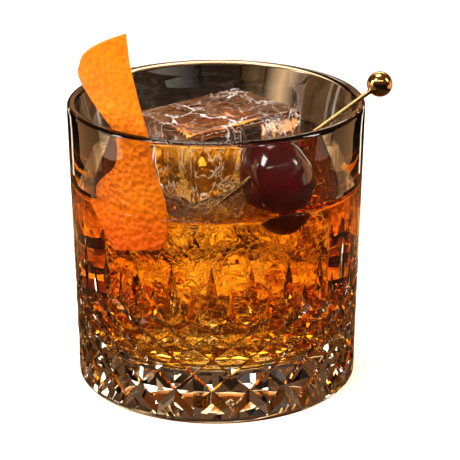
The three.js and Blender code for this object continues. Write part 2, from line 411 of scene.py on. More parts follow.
@dataclass(frozen=True)
class CutGlass:
    """Clear polished glass with the faint waves of hand polishing."""

    colour: Colour = (0.985, 0.99, 0.985)
    ior: float = 1.52
    wave_size: float = 0.016
    wave_height: float = 0.00002
    smears_per_metre: float = 140.0
    smear_roughness: float = 0.02
    lamp_share: Colour = (0.995, 0.995, 0.99)

    def material(self) -> bpy.types.Material:
        """Make the glass material.

        Returns:
            The material.
        """
        graph = Graph("cut_glass")
        shader = graph.principled(self.colour, Transmission_Weight=1.0, IOR=self.ior)
        smear = graph.grain(self.smears_per_metre, 4.0, 0.6, 0.4)
        graph.link(graph.spread(smear, 0.0, self.smear_roughness, 0.5, 0.8), shader.inputs["Roughness"])
        wave = graph.grain(1.0 / self.wave_size, 1.0)
        graph.link(graph.bump(wave, self.wave_height), shader.inputs["Normal"])
        return graph.finish(graph.lets_lamps_through(shader.outputs["BSDF"], self.lamp_share))


@dataclass(frozen=True)
class AmberDrink:
    """Clear amber spirit that darkens with depth."""

    colour: Colour = (0.962, 0.745, 0.04)
    density: float = 130.0
    ior: float = 1.36
    ripple_size: float = 0.009
    ripple_height: float = 0.00003
    lamp_share: Colour = (0.98, 0.92, 0.8)

    def material(self) -> bpy.types.Material:
        """Make the drink's material.

        Returns:
            The material.
        """
        graph = Graph("amber_drink")
        shader = graph.principled(WHITE, Roughness=0.0, Transmission_Weight=1.0, IOR=self.ior)
        ripple = graph.grain(1.0 / self.ripple_size, 2.0, 0.5, 0.6)
        graph.link(graph.bump(ripple, self.ripple_height), shader.inputs["Normal"])
        depth = graph.node("ShaderNodeVolumeAbsorption", Color=(*self.colour, 1.0), Density=self.density)
        surface = graph.lets_lamps_through(shader.outputs["BSDF"], self.lamp_share)
        return graph.finish(surface, depth.outputs["Volume"])


@dataclass(frozen=True)
class ClearIce:
    """Wet clear ice, dimpled as it melts, with painted white glints along its cracks in patches."""

    colour: Colour = (0.98, 0.99, 1.0)
    ior: float = 1.31
    dimple_size: float = 0.009
    dimple_height: float = 0.00075
    crack_size: float = 0.014
    # Painted glint along the cracks: its colour, strength and width.
    crack_glint_colour: Colour = (0.95, 0.93, 0.9)
    crack_glint_share: float = 0.9
    crack_glint_width: float = 0.026
    crack_roughness: float = 0.3
    crack_relief: float = 0.0003
    stirs_per_metre: float = 120.0
    patches_per_metre: float = 60.0
    frost_per_metre: float = 210.0
    frost_roughness: float = 0.2
    lamp_share: Colour = (0.92, 0.93, 0.94)

    def _crack_distance(self, graph: Graph) -> bpy.types.NodeSocket:
        """Measure the way to the nearest crack, on lines stirred so that they wander.

        Args:
            graph: the ice's node tree.

        Returns:
            The distance as a share of a cell.
        """
        cells = graph.node("ShaderNodeTexVoronoi", feature="DISTANCE_TO_EDGE", Scale=1.0 / self.crack_size)
        stir = graph.node("ShaderNodeTexNoise", Scale=self.stirs_per_metre, Detail=4.0, Roughness=0.6)
        graph.link(graph.place(), stir.inputs["Vector"])
        bend = graph.node("ShaderNodeVectorMath", operation="MULTIPLY_ADD")
        graph.link(stir.outputs["Color"], bend.inputs[0])
        bend.inputs[1].default_value = (self.crack_size,) * 3
        graph.link(graph.place(), bend.inputs[2])
        graph.link(bend.outputs["Vector"], cells.inputs["Vector"])
        return cells.outputs["Distance"]

    def material(self) -> bpy.types.Material:
        """Make the ice material.

        Returns:
            The material.
        """
        graph = Graph("clear_ice")
        shader = graph.principled(self.colour, Transmission_Weight=1.0, IOR=self.ior)
        crack = self._crack_distance(graph)
        lines = graph.spread(crack, self.crack_roughness, 0.0, 0.0, 0.03)
        haze = graph.grain(self.frost_per_metre, 5.0, 0.65, 0.8)
        frost = graph.spread(haze, 0.0, self.frost_roughness, 0.6, 0.78)
        rough = graph.node("ShaderNodeMath", operation="MAXIMUM")
        graph.link(lines, rough.inputs[0])
        graph.link(frost, rough.inputs[1])
        graph.link(rough.outputs["Value"], shader.inputs["Roughness"])
        soft = graph.bump(graph.grain(1.0 / self.dimple_size, 2.5, 0.5, 0.9), self.dimple_height)
        graph.link(graph.bump(lines, self.crack_relief, 0.6, soft), shader.inputs["Normal"])
        # Painted glint: a white diffuse shader along the cracks, in patches, stands in for the white
        # highlights that the cracks throw.
        painted_glint = graph.node("ShaderNodeBsdfDiffuse", Color=(*self.crack_glint_colour, 1.0))
        glint_patches = graph.spread(graph.grain(self.patches_per_metre, 3.0, 0.6), 0.0, 1.0, 0.44, 0.58)
        share = graph.node("ShaderNodeMath", operation="MULTIPLY")
        graph.link(graph.spread(crack, self.crack_glint_share, 0.0, 0.0, self.crack_glint_width), share.inputs[0])
        graph.link(glint_patches, share.inputs[1])
        cracked = graph.mix(share.outputs["Value"], shader.outputs["BSDF"], painted_glint.outputs["BSDF"])
        return graph.finish(graph.lets_lamps_through(cracked, self.lamp_share))


@dataclass(frozen=True)
class CherrySkin:
    """Dark candied skin under a coat of syrup."""

    deep: Colour = (0.018, 0.0005, 0.0008)
    light: Colour = (0.075, 0.002, 0.0032)
    mottles_per_metre: float = 170.0
    dents_per_metre: float = 420.0
    dent_height: float = 0.00002

    def material(self) -> bpy.types.Material:
        """Make the cherry's material.

        Returns:
            The material.
        """
        graph = Graph("cherry_skin")
        shader = graph.principled(
            self.deep,
            Roughness=0.14,
            IOR=1.45,
            Coat_Weight=1.0,
            Coat_Roughness=0.02,
            Specular_IOR_Level=0.4,
        )
        mottle = graph.grain(self.mottles_per_metre, 4.0, 0.6, 0.5)
        graph.link(graph.ramp(mottle, ((0.3, self.deep), (0.75, self.light))), shader.inputs["Base Color"])
        dents = graph.grain(self.dents_per_metre, 3.0)
        graph.link(graph.bump(dents, self.dent_height), shader.inputs["Normal"])
        return graph.finish(shader.outputs["BSDF"])


@dataclass(frozen=True)
class PolishedBrass:
    """Polished brass with fine rubbing marks."""

    bright: Colour = (0.74, 0.5, 0.21)
    worn: Colour = (0.55, 0.35, 0.13)
    clouds_per_metre: float = 220.0
    rubs_per_metre: float = 900.0
    scratches_per_metre: float = 2600.0
    scratch_height: float = 0.000006

    def material(self) -> bpy.types.Material:
        """Make the brass material.

        Returns:
            The material.
        """
        graph = Graph("polished_brass")
        shader = graph.principled(self.bright, Metallic=1.0)
        cloud = graph.grain(self.clouds_per_metre, 4.0, 0.6)
        graph.link(graph.ramp(cloud, ((0.35, self.worn), (0.65, self.bright))), shader.inputs["Base Color"])
        rubs = graph.grain(self.rubs_per_metre, 3.0)
        graph.link(graph.spread(rubs, 0.06, 0.2, 0.3, 0.75), shader.inputs["Roughness"])
        scratches = graph.grain(self.scratches_per_metre, 2.0)
        graph.link(graph.bump(scratches, self.scratch_height), shader.inputs["Normal"])
        return graph.finish(shader.outputs["BSDF"])


@dataclass(frozen=True)
class OrangeZest:
    """Waxy zest with oil pores, their pits darkened with painted shade, and darker and redder towards its
    lower end.
    """

    pale: Colour = (0.86, 0.215, 0.001)
    deep: Colour = (0.74, 0.145, 0.001)
    # Darker, redder tint towards the lower end, fading out between two heights.
    low_tint: Colour = (0.78, 0.4, 0.1)
    low_tint_below: float = 0.044
    full_tone_above: float = 0.066
    pore_size: float = 0.0016
    pore_depth: float = 0.0011
    # Painted shade in the pore pits.
    pore_painted_shade: Colour = (0.86, 0.7, 0.6)
    clouds_per_metre: float = 90.0
    swells_per_metre: float = 260.0
    swell_height: float = 0.0002

    def material(self) -> bpy.types.Material:
        """Make the zest material.

        Returns:
            The material.
        """
        graph = Graph("orange_zest")
        shader = graph.principled(
            self.pale,
            IOR=1.45,
            Specular_IOR_Level=0.12,
            Coat_Weight=0.2,
            Coat_Roughness=0.12,
            Subsurface_Weight=0.1,
            Subsurface_Scale=0.0012,
            Subsurface_Radius=(1.0, 0.4, 0.1),
        )
        cloud = graph.grain(self.clouds_per_metre, 4.0, 0.55)
        pores = graph.cells(1.0 / self.pore_size, 0.5)
        skin = graph.times(
            graph.ramp(cloud, ((0.32, self.deep), (0.62, self.pale))),
            # Painted shade: the pore middles are darkened so that the pits show as shaded.
            graph.ramp(pores, ((0.1, self.pore_painted_shade), (0.42, WHITE))),
        )
        # Darker and redder towards the lower end: full tint below one height, none above the other.
        height = graph.node("ShaderNodeSeparateXYZ")
        graph.link(graph.place(), height.inputs["Vector"])
        height_share = graph.spread(height.outputs["Z"], 0.0, 1.0, self.low_tint_below, self.full_tone_above)
        low_tint_ramp = graph.ramp(height_share, ((0.0, self.low_tint), (1.0, WHITE)))
        graph.link(graph.times(skin, low_tint_ramp), shader.inputs["Base Color"])
        graph.link(graph.spread(pores, 0.28, 0.5, 0.1, 0.6), shader.inputs["Roughness"])
        swell = graph.bump(graph.grain(self.swells_per_metre, 2.0), self.swell_height, 0.4)
        graph.link(graph.bump(pores, self.pore_depth, 0.65, swell), shader.inputs["Normal"])
        graph.link(graph.bump(pores, self.pore_depth, 1.0, swell), shader.inputs["Coat Normal"])
        return graph.finish(shader.outputs["BSDF"])


@dataclass(frozen=True)
class OrangePith:
    """Pale spongy pith on the inside of the peel."""

    pale: Colour = (0.9, 0.72, 0.42)
    stained: Colour = (0.88, 0.5, 0.14)
    stains_per_metre: float = 150.0
    sponge_per_metre: float = 800.0
    sponge_height: float = 0.0003

    def material(self) -> bpy.types.Material:
        """Make the pith material.

        Returns:
            The material.
        """
        graph = Graph("orange_pith")
        shader = graph.principled(self.pale, Roughness=0.7, Subsurface_Weight=0.3, Subsurface_Scale=0.0015)
        stain = graph.grain(self.stains_per_metre, 5.0, 0.6)
        graph.link(graph.ramp(stain, ((0.35, self.stained), (0.6, self.pale))), shader.inputs["Base Color"])
        sponge = graph.grain(self.sponge_per_metre, 4.0)
        graph.link(graph.bump(sponge, self.sponge_height), shader.inputs["Normal"])
        return graph.finish(shader.outputs["BSDF"])


@dataclass
class Tumbler:
    """The rocks glass with its cut diamonds, flutes and spikes. Sizes in millimetres."""

    height: float = 84.2
    rim_radius: float = 43.0
    base_radius: float = 41.5
    lip: float = 3.1
    inner_radius: float = 36.5
    flare_start: float = 48.0
    floor: float = 14.4
    floor_corner: float = 6.0
    heel: float = 1.2
    columns: int = 24
    facets: int = 8
    pattern_turn: float = 5.6
    first_row: float = 4.9
    row_step: float = 5.55
    row_shrink: float = 0.907
    crossing_rows: int = 7
    groove_depth: float = 1.6
    window_share: float = 0.38
    star_depth: float = 0.45
    run_out: float = 1.9
    flute_foot: float = 33.3
    flute_middle: float = 39.5
    flute_top: float = 49.0
    flute_half: float = 1.8
    flute_depth: float = 1.3
    spike_middle: float = 34.2
    spike_top: float = 42.2
    spike_half: float = 1.4
    band_top: float = 51.5
    outer_stations: tuple[float, ...] = (58.0, 65.0, 72.0, 78.0)
    inner_stations: tuple[float, ...] = (
        80.0, 77.0, 74.0, 71.0, 68.0, 65.0, 62.0, 58.0, 53.0, 48.0, 40.0, 30.0,
    )
    finish: CutGlass = field(default_factory=CutGlass)

    def outer(self, height: float) -> float:
        """Give the outer radius at a height."""
        return self.base_radius + (self.rim_radius - self.base_radius) * height / self.height

    def inner(self, height: float) -> float:
        """Give the inner radius at a height."""
        share = max(0.0, (height - self.flare_start) / (self.height - self.flare_start))
        return self.inner_radius + (self.rim_radius - self.lip - self.inner_radius) * share * share

    def angle(self, side: float) -> float:
        """Give the angle of a half column."""
        return self.pattern_turn + side * 180.0 / self.columns

    def rows(self) -> list[float]:
        """Work out where the grooves cross.

        Returns:
            The crossings' heights, from the lowest.
        """
        heights = [self.first_row]
        step = self.row_step
        for _ in range(self.crossing_rows - 1):
            heights.append(heights[-1] + step)
            step *= self.row_shrink
        return heights

    def corner(self, grow: float) -> list[tuple[float, float]]:
        """Round the inner corner from the wall to the floor.

        Args:
            grow: how far the corner is pushed out.

        Returns:
            Radius and height pairs.
        """
        size = self.floor_corner + grow
        middle = self.inner_radius - self.floor_corner
        turns = [math.pi / 2 * step / 10 for step in range(11)]
        return [
            (middle + size * math.cos(turn), self.floor + self.floor_corner - size * math.sin(turn))
            for turn in turns
        ]

    def _diamonds(
        self, bm: bmesh.types.BMesh, crossing: Callable[[int, int], bmesh.types.BMVert], heights: list[float]
    ) -> None:
        """Cut the whole diamonds of one column and raise their windows.

        Args:
            bm: the column's mesh.
            crossing: gives the groove crossing of a row and side.
            heights: the rows' heights.
        """
        for row in range(1, len(heights) - 1):
            side = (row + 1) % 2
            around = (
                crossing(row, side - 1),
                crossing(row - 1, side),
                crossing(row, side + 1),
                crossing(row + 1, side),
            )
            face = bm.faces.new(around)
            across = self.outer(heights[row]) * math.sin(math.pi / self.columns)
            rise = (heights[row + 1] - heights[row - 1]) / 2
            inset = (1.0 - self.window_share) * across * rise / math.hypot(across, rise)
            bmesh.ops.inset_individual(bm, faces=[face], thickness=inset * MM, use_even_offset=True)
            for vert in face.verts:
                reach = self.outer(vert.co.z / MM) * MM / math.hypot(vert.co.x, vert.co.y)
                vert.co.x *= reach
                vert.co.y *= reach
            face.normal_update()
            bmesh.ops.poke(bm, faces=[face], offset=-self.star_depth * MM)

    def _true_round(self, glass: bpy.types.Object) -> None:
        """Shade the uncut skin between the cuts as one round wall.

        Args:
            glass: the finished glass, whose skin faces carry a mark.
        """
        mesh = glass.data
        marks = mesh.attributes["skin"].data
        normals = [(0.0, 0.0, 0.0)] * len(mesh.loops)
        lean = (self.base_radius - self.rim_radius) / self.height
        for face in mesh.polygons:
            if not marks[face.index].value:
                continue
            for corner in face.loop_indices:
                spot = mesh.vertices[mesh.loops[corner].vertex_index].co
                out = Vector((spot.x, spot.y, lean * math.hypot(spot.x, spot.y)))
                normals[corner] = tuple(out.normalized())
        mesh.normals_split_custom_set(normals)

    def _cut_column(self, bm: bmesh.types.BMesh) -> None:
        """Model one column of the cut band, from the heel to the smooth wall.

        Args:
            bm: the mesh that gets the column.
        """
        heights = self.rows()
        last = len(heights) - 1
        known: dict[tuple[int, int], bmesh.types.BMVert] = {}

        def crossing(row: int, side: int) -> bmesh.types.BMVert:
            """Find or make the point where two grooves cross.

            Args:
                row: the crossing's row.
                side: its half column.

            Returns:
                The point.
            """
            if (row, side) not in known:
                height = heights[row]
                radius = self.outer(height) - self.groove_depth
                known[row, side] = bm.verts.new(polar(self.angle(side), radius, height))
            return known[row, side]

        def skin(side: float, height: float) -> bmesh.types.BMVert:
            """Give a point on the uncut outside."""
            return bm.verts.new(polar(self.angle(side), self.outer(height), height))

        self._diamonds(bm, crossing, heights)
        share = self.window_share
        steps = [2.0 * step / self.facets for step in range(self.facets + 1)]
        half = self.facets // 2

        low = [skin(side, self.run_out) for side in steps]
        west, east, north = crossing(0, 0), crossing(0, 2), crossing(1, 1)
        low_west, low_east = skin(1 - share, heights[0]), skin(1 + share, heights[0])
        low_north = skin(1, heights[0] + share * (heights[1] - heights[0]))
        for corners in (
            (west, low_west, low_north, north),
            (east, north, low_north, low_east),
            (west, low[0], low_west),
            (east, low_east, low[-1]),
            (low_west, *low[: half + 1]),
            (low_east, *low[half:]),
            (low_west, low[half], low_east, low_north),
        ):
            bm.faces.new(corners)

        high = [skin(side, self.band_top) for side in steps]
        west, east, south = crossing(last, 0), crossing(last, 2), crossing(last - 1, 1)
        top_west, top_east = skin(1 - share, heights[last]), skin(1 + share, heights[last])
        top_south = skin(1, heights[last] - share * (heights[last] - heights[last - 1]))
        degree = math.radians(180.0 / self.columns)
        flute_reach = self.flute_half / self.outer(self.flute_middle) / degree
        spike_reach = self.spike_half / self.outer(self.spike_middle) / degree
        spike_west = skin(spike_reach, self.spike_middle)
        spike_east = skin(2 - spike_reach, self.spike_middle)
        tip_west, tip_east = skin(0, self.spike_top), skin(2, self.spike_top)
        foot, head = skin(1, self.flute_foot), skin(1, self.flute_top)
        left, right = skin(1 - flute_reach, self.flute_middle), skin(1 + flute_reach, self.flute_middle)
        for corners in (
            (west, south, top_south, top_west),
            (south, east, top_east, top_south),
            (west, top_west, spike_west),
            (west, spike_west, tip_west),
            (east, spike_east, top_east),
            (east, tip_east, spike_east),
        ):
            bm.faces.new(corners)
        mark = bm.faces.layers.int.new("skin")
        for corners in (
            (top_west, top_south, foot, left, head, *reversed(high[: half + 1]), tip_west, spike_west),
            (top_south, top_east, spike_east, tip_east, *reversed(high[half:]), head, right, foot),
        ):
            panel = bm.faces.new(corners)
            panel.smooth = True
            panel[mark] = 1
        flute = bm.faces.new((foot, right, head, left))
        flute.normal_update()
        bmesh.ops.poke(bm, faces=[flute], offset=-self.flute_depth * MM)

    def build(self) -> bpy.types.Object:
        """Model and dress the glass.

        Returns:
            The finished glass.
        """
        bm = bmesh.new()
        self._cut_column(bm)
        bmesh.ops.spin(
            bm,
            geom=bm.verts[:] + bm.edges[:] + bm.faces[:],
            cent=(0.0, 0.0, 0.0),
            axis=(0.0, 0.0, 1.0),
            dvec=(0.0, 0.0, 0.0),
            angle=FULL_TURN * (self.columns - 1) / self.columns,
            steps=self.columns - 1,
            use_duplicate=True,
        )
        around = self.columns * self.facets
        foot: list[tuple[float, float]] = [(0.0, 0.0), (self.base_radius / 2, 0.0)]
        for step in range(7):
            turn = math.pi / 2 * step / 6
            radius = self.outer(self.heel) - self.heel * (1.0 - math.sin(turn))
            foot.append((radius, self.heel * (1.0 - math.cos(turn))))
        foot.append((self.outer(self.run_out), self.run_out))
        turn_profile(bm, foot, around, self.pattern_turn)
        wall = [(self.outer(height), height) for height in (self.band_top, *self.outer_stations)]
        round_lip = self.lip / 2
        middle = self.rim_radius - round_lip
        for step in range(15):
            turn = math.pi * step / 14
            rise = self.height - round_lip + round_lip * math.sin(turn)
            wall.append((middle + round_lip * math.cos(turn), rise))
        wall += [(self.inner(height), height) for height in self.inner_stations]
        wall += self.corner(0.0)
        wall += [(20.0, self.floor), (8.0, self.floor), (0.0, self.floor)]
        turn_profile(bm, wall, around, self.pattern_turn)
        close_up(bm)
        glass = bare_object("tumbler_glass", bm, [self.finish.material()])
        self._true_round(glass)
        return settle(glass, Slot.GLASS, "tumbler")


@dataclass
class IceBlock:
    """One tall block of clear ice, melted and cracked at its faces. Sizes in millimetres."""

    length: float = 41.5
    width: float = 31.0
    foot: float = 14.5
    top: float = 80.6
    turn: float = 39.5
    rounding: float = 2.2
    foot_share: float = 0.95
    centre_y: float = 0.5
    cuts: int = 60
    melt: float = 0.34
    finish: ClearIce = field(default_factory=ClearIce)

    def place(self) -> Matrix:
        """Give the block's place in the glass."""
        middle = Vector((0.0, self.centre_y, (self.foot + self.top) / 2)) * MM
        return Matrix.Translation(middle) @ Matrix.Rotation(math.radians(self.turn), 4, "Z")

    def form(self, grow: float) -> bmesh.types.BMesh:
        """Model the melted block.

        Args:
            grow: how far it is pushed out on every side, in millimetres.

        Returns:
            The block's mesh in place.
        """
        half = Vector((self.length / 2, self.width / 2, (self.top - self.foot) / 2))
        bm = bmesh.new()
        bmesh.ops.create_cube(bm, size=2.0)
        bmesh.ops.subdivide_edges(bm, edges=bm.edges[:], cuts=self.cuts, use_grid_fill=True)
        for vert in bm.verts:
            point = Vector((vert.co.x * half.x, vert.co.y * half.y, vert.co.z * half.z))
            core = Vector(
                tuple(
                    max(-side + self.rounding, min(side - self.rounding, value))
                    for value, side in zip(point, half)
                )
            )
            out = (point - core).normalized()
            wave = noise.noise(point * 0.09) + 0.5 * noise.noise(point * 0.23 + Vector((7.0, 3.0, 1.0)))
            point = core + out * (self.rounding + grow + self.melt * (wave - 0.6))
            share = self.foot_share + (1.0 - self.foot_share) * (vert.co.z + 1.0) / 2
            vert.co = Vector((point.x * share, point.y * share, point.z)) * MM
        bmesh.ops.transform(bm, matrix=self.place(), verts=bm.verts[:])
        bmesh.ops.recalc_face_normals(bm, faces=bm.faces[:])
        smooth_faces(bm)
        return bm

    def build(self) -> bpy.types.Object:
        """Model and dress the block.

        Returns:
            The finished block.
        """
        block = bare_object("ice_clear_block", self.form(0.0), [self.finish.material()])
        return settle(block, Slot.ICE, "ice_block")


@dataclass
class Drink:
    """The amber drink, from the glass's floor to its level. Sizes in millimetres."""

    level: float = 60.6
    into_wall: float = 0.06
    meniscus: float = 1.1
    meniscus_reach: float = 0.9
    steps: int = 192
    finish: AmberDrink = field(default_factory=AmberDrink)

    def build(self, glass: Tumbler, ice: IceBlock) -> bpy.types.Object:
        """Model and dress the drink.

        Args:
            glass: the tumbler that it fills.
            ice: the block that stands in it.

        Returns:
            The finished drink.
        """
        profile = [(0.0, glass.floor - self.into_wall), (18.0, glass.floor - self.into_wall)]
        profile += list(reversed(glass.corner(self.into_wall)))
        brim = self.level + self.meniscus
        for height in (30.0, 40.0, 48.0, 52.0, 56.0, 59.0, brim):
            profile.append((glass.inner(height) + self.into_wall, height))
        wall = glass.inner(brim)
        for away in (0.25, 0.6, 1.0, 1.6, 2.4, 3.6, 5.5):
            profile.append((wall - away, self.level + self.meniscus * math.exp(-away / self.meniscus_reach)))
        profile += [(24.0, self.level), (10.0, self.level), (0.0, self.level)]
        bm = bmesh.new()
        turn_profile(bm, profile, self.steps, glass.pattern_turn)
        close_up(bm)
        drink = bare_object("amber_drink_fill", bm, [self.finish.material()])
        room = bare_object("ice_room", ice.form(-self.into_wall), [])
        cut = drink.modifiers.new("ice_room", "BOOLEAN")
        cut.operation = "DIFFERENCE"
        cut.solver = "EXACT"
        cut.object = room
        shaped = bpy.data.meshes.new_from_object(drink.evaluated_get(bpy.context.evaluated_depsgraph_get()))
        drink.modifiers.clear()
        drink.data = shaped
        bpy.data.objects.remove(room)
        return settle(drink, Slot.DRINK, "drink")


@dataclass
class CocktailPick:
    """A pointed brass rod with a ball on its end. Sizes in millimetres."""

    tip: Vector = field(default_factory=lambda: Vector((-0.4, -30.2, 62.4)))
    on_lip: Vector = field(default_factory=lambda: Vector((39.3, -7.6, 84.9)))
    rod: float = 0.68
    point_length: float = 5.0
    point_radius: float = 0.25
    past_lip: float = 9.6
    ball: float = 3.7
    steps: int = 48
    finish: PolishedBrass = field(default_factory=PolishedBrass)

    def axis(self) -> Vector:
        """Give the rod's direction, from its tip to its ball."""
        return (self.on_lip - self.tip).normalized()

    def build(self) -> bpy.types.Object:
        """Model and dress the pick.

        Returns:
            The finished pick.
        """
        reach = (self.on_lip - self.tip).length + self.past_lip
        start = math.asin(self.rod / self.ball)
        profile = [(0.0, 0.0), (self.point_radius * 0.7, 0.08), (self.point_radius, self.point_radius)]
        profile += [(self.rod, self.point_length), (self.rod, reach / 2)]
        neck = reach - self.ball * math.cos(start)
        profile += [(self.rod, neck - 1.2), (self.rod * 1.12, neck - 0.35), (self.rod * 1.4, neck + 0.05)]
        for step in range(2, 25):
            turn = start + (math.pi - start) * step / 24
            profile.append((self.ball * math.sin(turn), reach - self.ball * math.cos(turn)))
        bm = bmesh.new()
        turn_profile(bm, profile, self.steps)
        close_up(bm)
        lean: Quaternion = Vector((0.0, 0.0, 1.0)).rotation_difference(self.axis())
        place = Matrix.Translation(self.tip * MM) @ lean.to_matrix().to_4x4()
        bmesh.ops.transform(bm, matrix=place, verts=bm.verts[:])
        pick = bare_object("brass_cocktail_pick", bm, [self.finish.material()])
        return settle(pick, Slot.BRASS, "cocktail_pick")


@dataclass
class Cherry:
    """A candied cherry, dimpled where the pick passes. Sizes in millimetres."""

    centre: Vector = field(default_factory=lambda: Vector((16.5, -19.9, 66.6)))
    radius: float = 10.2
    lower_stretch: float = 0.45
    dimple_depth: float = 1.5
    dimple_width: float = 3.2
    finish: CherrySkin = field(default_factory=CherrySkin)

    def build(self, pick: CocktailPick) -> bpy.types.Object:
        """Model and dress the cherry.

        Args:
            pick: the pick that holds it.

        Returns:
            The finished cherry.
        """
        axis = pick.axis()
        reach = self.centre - pick.tip
        nearest = axis * reach.dot(axis) - reach
        chord = math.sqrt(self.radius**2 - nearest.length_squared)
        dimples = (nearest + axis * chord, nearest - axis * chord)
        bm = bmesh.new()
        bmesh.ops.create_uvsphere(bm, u_segments=96, v_segments=64, radius=self.radius)
        for vert in bm.verts:
            point = vert.co.copy()
            point.z -= self.lower_stretch * min(0.0, point.z) ** 2 / self.radius
            scale = 1.0 + 0.012 * noise.noise(point * 0.12) + 0.004 * noise.noise(point * 0.45)
            for dimple in dimples:
                away = (point - dimple).length / self.dimple_width
                scale -= self.dimple_depth / self.radius * math.exp(-away * away)
            vert.co = (point * scale + self.centre) * MM
        smooth_faces(bm)
        cherry = bare_object("candied_cherry", bm, [self.finish.material()])
        return settle(cherry, Slot.CHERRY, "cherry")


@dataclass
class OrangePeel:
    """A twist of orange peel: along the wall inside the glass, leaning out above the rim.

    Edges run from the top end to the bottom end as angle and height pairs. Sizes in millimetres.
    """

    left: tuple[tuple[float, float], ...] = (
        (-54.5, 102.8), (-59.0, 96.5), (-54.0, 89.5), (-47.0, 83.5), (-43.0, 78.5),
        (-46.0, 72.5), (-57.0, 66.5), (-65.0, 61.5), (-57.5, 55.0), (-48.0, 47.6),
    )
    right: tuple[tuple[float, float], ...] = (
        (-43.0, 110.0), (-39.5, 102.0), (-34.5, 93.5), (-29.5, 84.0), (-28.5, 79.0),
        (-26.5, 73.0), (-23.5, 67.0), (-21.8, 61.5), (-21.0, 55.5), (-24.0, 51.0),
    )
    thickness: float = 1.8
    wall_space: float = 1.5
    lean_out: float = 0.36
    lean_in: float = -0.1
    curl: float = 2.6
    top_round: float = 0.8
    top_share: float = 0.15
    ragged: float = 0.12
    edge_round: float = 0.35
    along: int = 96
    across: int = 28
    zest: OrangeZest = field(default_factory=OrangeZest)
    pith: OrangePith = field(default_factory=OrangePith)

    def _edge(self, glass: Tumbler, stations: Sequence[tuple[float, float]], lean: float) -> list[Vector]:
        """Lay an edge along the wall.

        Args:
            glass: the tumbler that holds the peel.
            stations: the edge's angle and height pairs.
            lean: how far it leans out for each millimetre above the rim.

        Returns:
            The stations as angle, radius and height.
        """
        points = []
        for angle, height in stations:
            wall = glass.inner(min(height, glass.height)) - self.wall_space
            points.append(Vector((angle, wall + lean * max(0.0, height - glass.height), height)))
        return points

    @staticmethod
    def _along_curve(points: Sequence[Vector], share: float) -> Vector:
        """Follow a smooth curve through points.

        Args:
            points: the curve's points.
            share: 0 at the first point, 1 at the last.

        Returns:
            The point on the curve.
        """
        last = len(points) - 1
        part = min(int(share * last), last - 1)
        local = share * last - part
        b, c = points[part], points[part + 1]
        a = points[part - 1] if part > 0 else b * 2 - c
        d = points[part + 2] if part + 2 <= last else c * 2 - b
        rise = b * 2 + (c - a) * local + (a * 2 - b * 5 + c * 4 - d) * local**2
        return (rise + (b * 3 - a - c * 3 + d) * local**3) / 2

    def build(self, glass: Tumbler) -> bpy.types.Object:
        """Model and dress the peel.

        Args:
            glass: the tumbler that it leans in.

        Returns:
            The finished peel.
        """
        left = self._edge(glass, self.left, self.lean_out)
        right = self._edge(glass, self.right, self.lean_in)
        bm = bmesh.new()
        bmesh.ops.create_grid(bm, x_segments=self.across, y_segments=self.along, size=0.5)
        for vert in bm.verts:
            share, over = 0.5 - vert.co.y, vert.co.x + 0.5
            flat = self._along_curve(left, share).lerp(self._along_curve(right, share), over)
            above = smooth_step(flat.z, glass.height - 2.0, glass.height + 12.0)
            bow = 4.0 * over * (1.0 - over)
            flat.y += self.curl * above * bow
            flat.z += self.top_round * bow * (1.0 - smooth_step(share, 0.0, self.top_share))
            wave = noise.noise(Vector((flat.x * 0.4, flat.z * 0.4, 2.0)))
            vert.co = polar(flat.x, flat.y + self.ragged * wave, flat.z)
        bmesh.ops.recalc_face_normals(bm, faces=bm.faces[:])
        middle = sum((face.normal for face in bm.faces), Vector())
        if middle.y > 0.0:
            bmesh.ops.reverse_faces(bm, faces=bm.faces[:])
        smooth_faces(bm)
        peel = bare_object("orange_peel_twist", bm, [self.zest.material(), self.pith.material()])
        wall = peel.modifiers.new("thickness", "SOLIDIFY")
        wall.thickness = self.thickness * MM
        wall.offset = 0.0
        wall.material_offset = 1
        wall.material_offset_rim = 0
        edge = peel.modifiers.new("soft_edge", "BEVEL")
        edge.width = self.edge_round * MM
        edge.segments = 2
        edge.limit_method = "ANGLE"
        edge.angle_limit = math.radians(50.0)
        return settle(peel, Slot.ZEST, "orange_peel")


@dataclass(frozen=True)
class SoftBox:
    """One soft studio light."""

    name: str
    place: tuple[float, float, float]
    aim: tuple[float, float, float]
    size: tuple[float, float]
    power: float
    colour: Colour = WHITE
    shows: Shows = Shows.NOWHERE

    def build(self) -> bpy.types.Object:
        """Put the light in the scene.

        Returns:
            The light.
        """
        lamp = bpy.data.lights.new(self.name, "AREA")
        lamp.shape = "RECTANGLE"
        lamp.size, lamp.size_y = self.size
        lamp.energy = self.power
        lamp.color = self.colour
        made = bpy.data.objects.new(self.name, lamp)
        bpy.context.scene.collection.objects.link(made)
        made.location = self.place
        aim = Vector(self.aim) - Vector(self.place)
        made.rotation_euler = aim.to_track_quat("-Z", "Y").to_euler()
        made.visible_camera = False
        made.visible_glossy = self.shows is not Shows.NOWHERE
        made.visible_transmission = self.shows is Shows.IN_GLOSS_AND_GLASS
        return made


